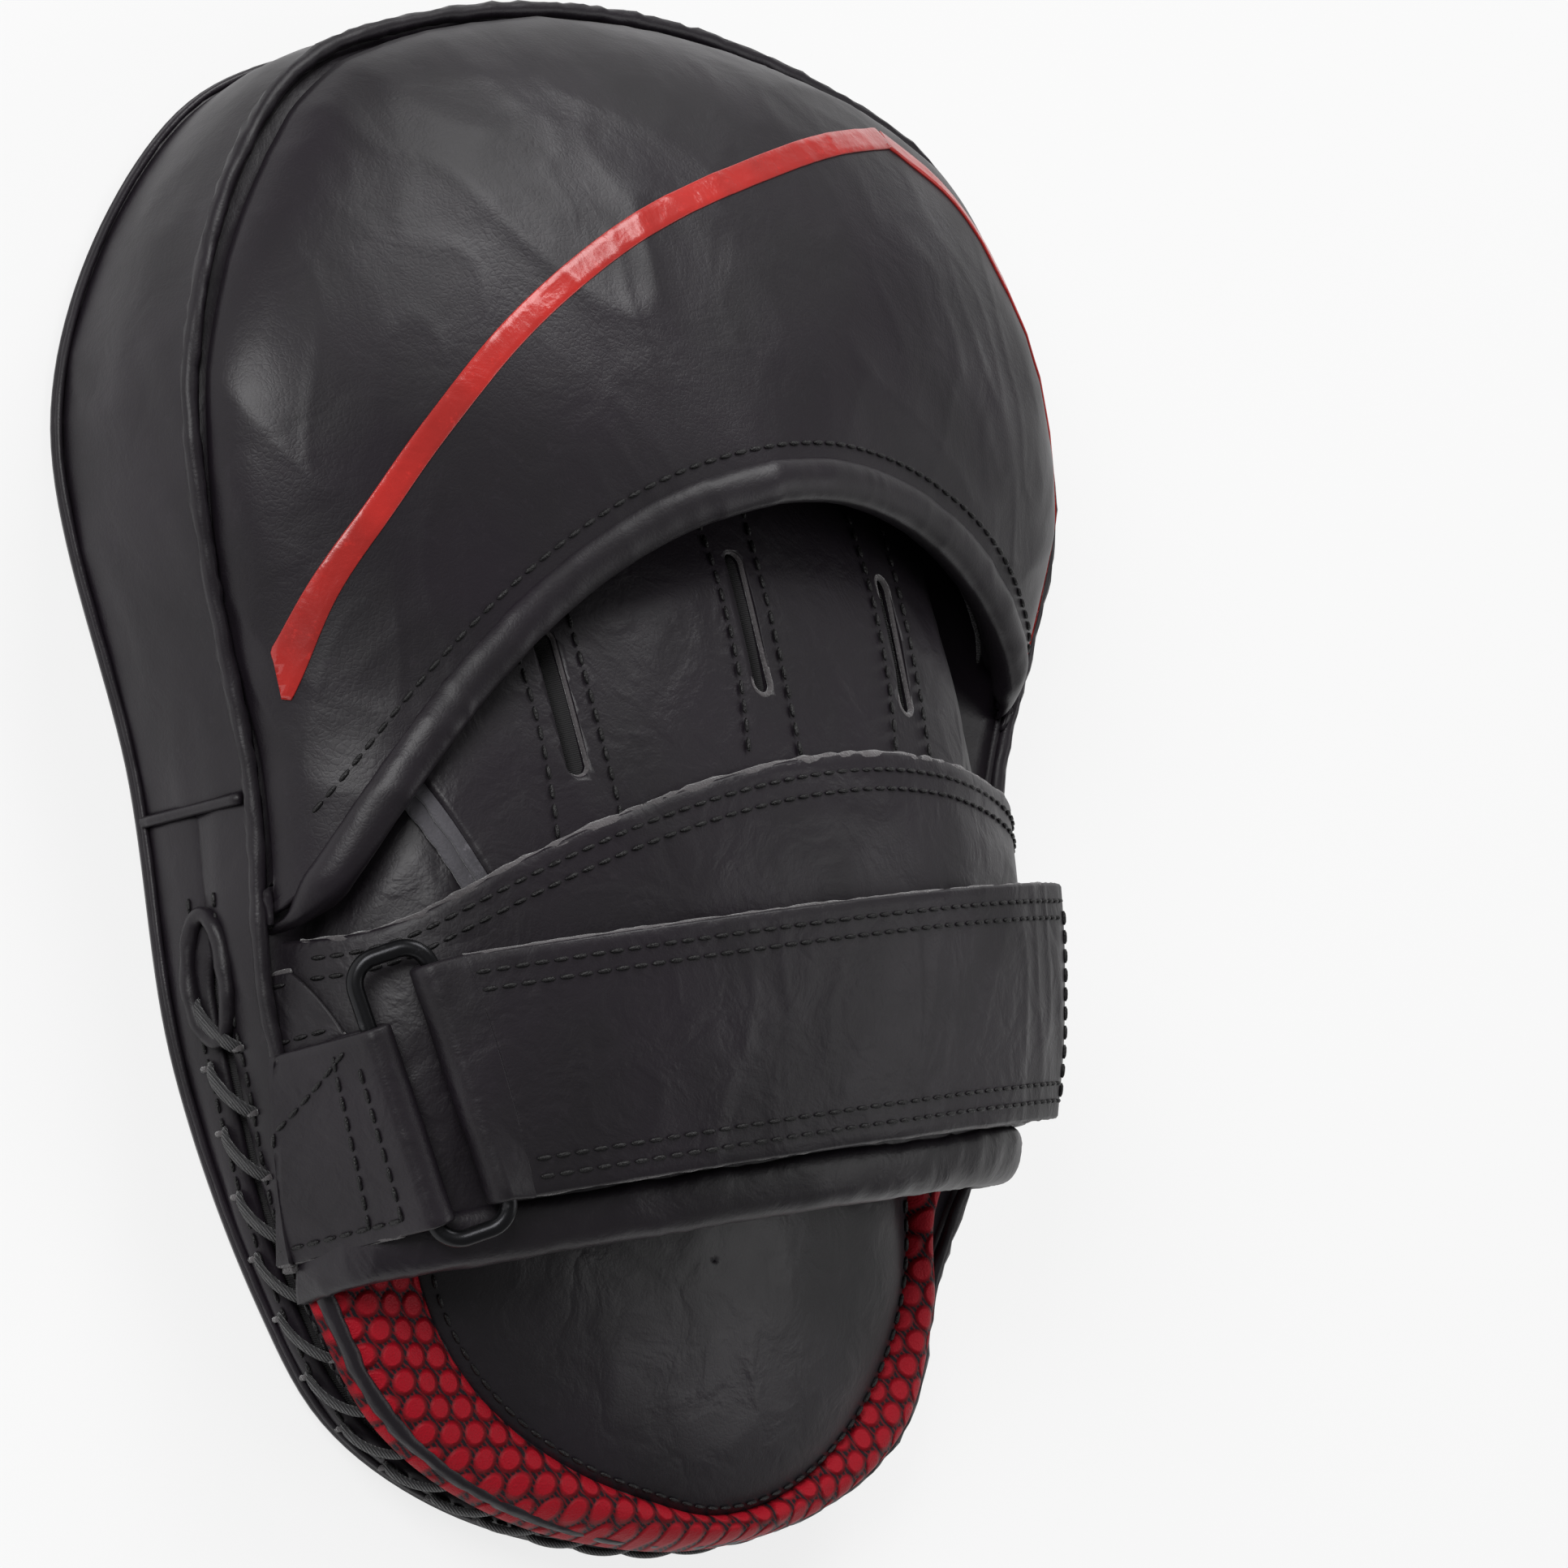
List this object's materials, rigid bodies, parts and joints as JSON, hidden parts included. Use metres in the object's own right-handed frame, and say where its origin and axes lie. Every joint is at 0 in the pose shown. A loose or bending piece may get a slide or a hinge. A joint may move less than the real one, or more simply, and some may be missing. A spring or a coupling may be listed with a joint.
{
  "type": "focus mitt",
  "caption": "Padded hand-held striking target: a flat leather face on foam, with a laced heel, finger stalls under a hood and a wrist strap run through a ring.",
  "frame": {"origin": "middle of the bottom face, where the striking face rests", "axes": "+Y towards the fingertips, +X towards the little-finger side, +Z from the striking face to the back of the hand"},
  "size_m": [0.2124, 0.2726, 0.0793],
  "materials": {
    "black_leather": "soft",
    "face_leather": "smooth",
    "grey_suede": "raw",
    "foam": "matte",
    "red_mesh": "woven",
    "rib_knit": "knitted",
    "lining": "smooth",
    "hook_and_loop": "fuzzy",
    "lace_cord": "braided",
    "ring_metal": "satin"
  },
  "bodies": {
    "mitt": {"strike_face": "face_leather", "firm_foam": "foam", "soft_foam": "foam", "palm_foam": "foam", "head_wall": "black_leather", "heel_wall": "black_leather", "lacing_tongue": "black_leather", "lace": "lace_cord", "seam_welt": "black_leather", "palm_panel": "black_leather", "palm_ball": "foam", "heel_panel": "black_leather", "mesh_border": "red_mesh", "heel_foam": "foam", "finger_panel": "black_leather", "stall_wall_thumb_side_left": "lining", "stall_wall_thumb_side_right": "lining", "stall_wall_middle_left": "lining", "stall_wall_middle_right": "lining", "stall_wall_little_side_left": "lining", "stall_wall_little_side_right": "lining", "suede_thumb": "grey_suede", "suede_finger": "grey_suede", "hand_back": "black_leather", "cuff_pad": "black_leather", "cuff_lining": "rib_knit", "hood_shell": "black_leather", "hood_binding": "black_leather", "hood_pad": "foam", "hood_lining": "lining", "ring_tab": "black_leather", "side_anchor": "black_leather", "strap_base": "black_leather", "loop_patch": "hook_and_loop"},
    "ring": {"ring": "ring_metal", "strap_fold": "black_leather"},
    "strap_flap": {"strap_flap": "black_leather", "hook_patch": "hook_and_loop"}
  },
  "joints": [
    {"name": "ring_swing", "type": "hinge", "parent": "mitt", "child": "ring", "pos_m": [-0.07712, -0.06554, 0.04347], "axis": [0.3346, -0.9423, 0.0095], "range_deg": [0, 25]},
    {"name": "strap_peel", "type": "hinge", "parent": "mitt", "child": "strap_flap", "pos_m": [-0.06657, -0.06165, 0.05764], "axis": [-0.3346, 0.9423, -0.0095], "range_deg": [-120, 0]}
  ]
}
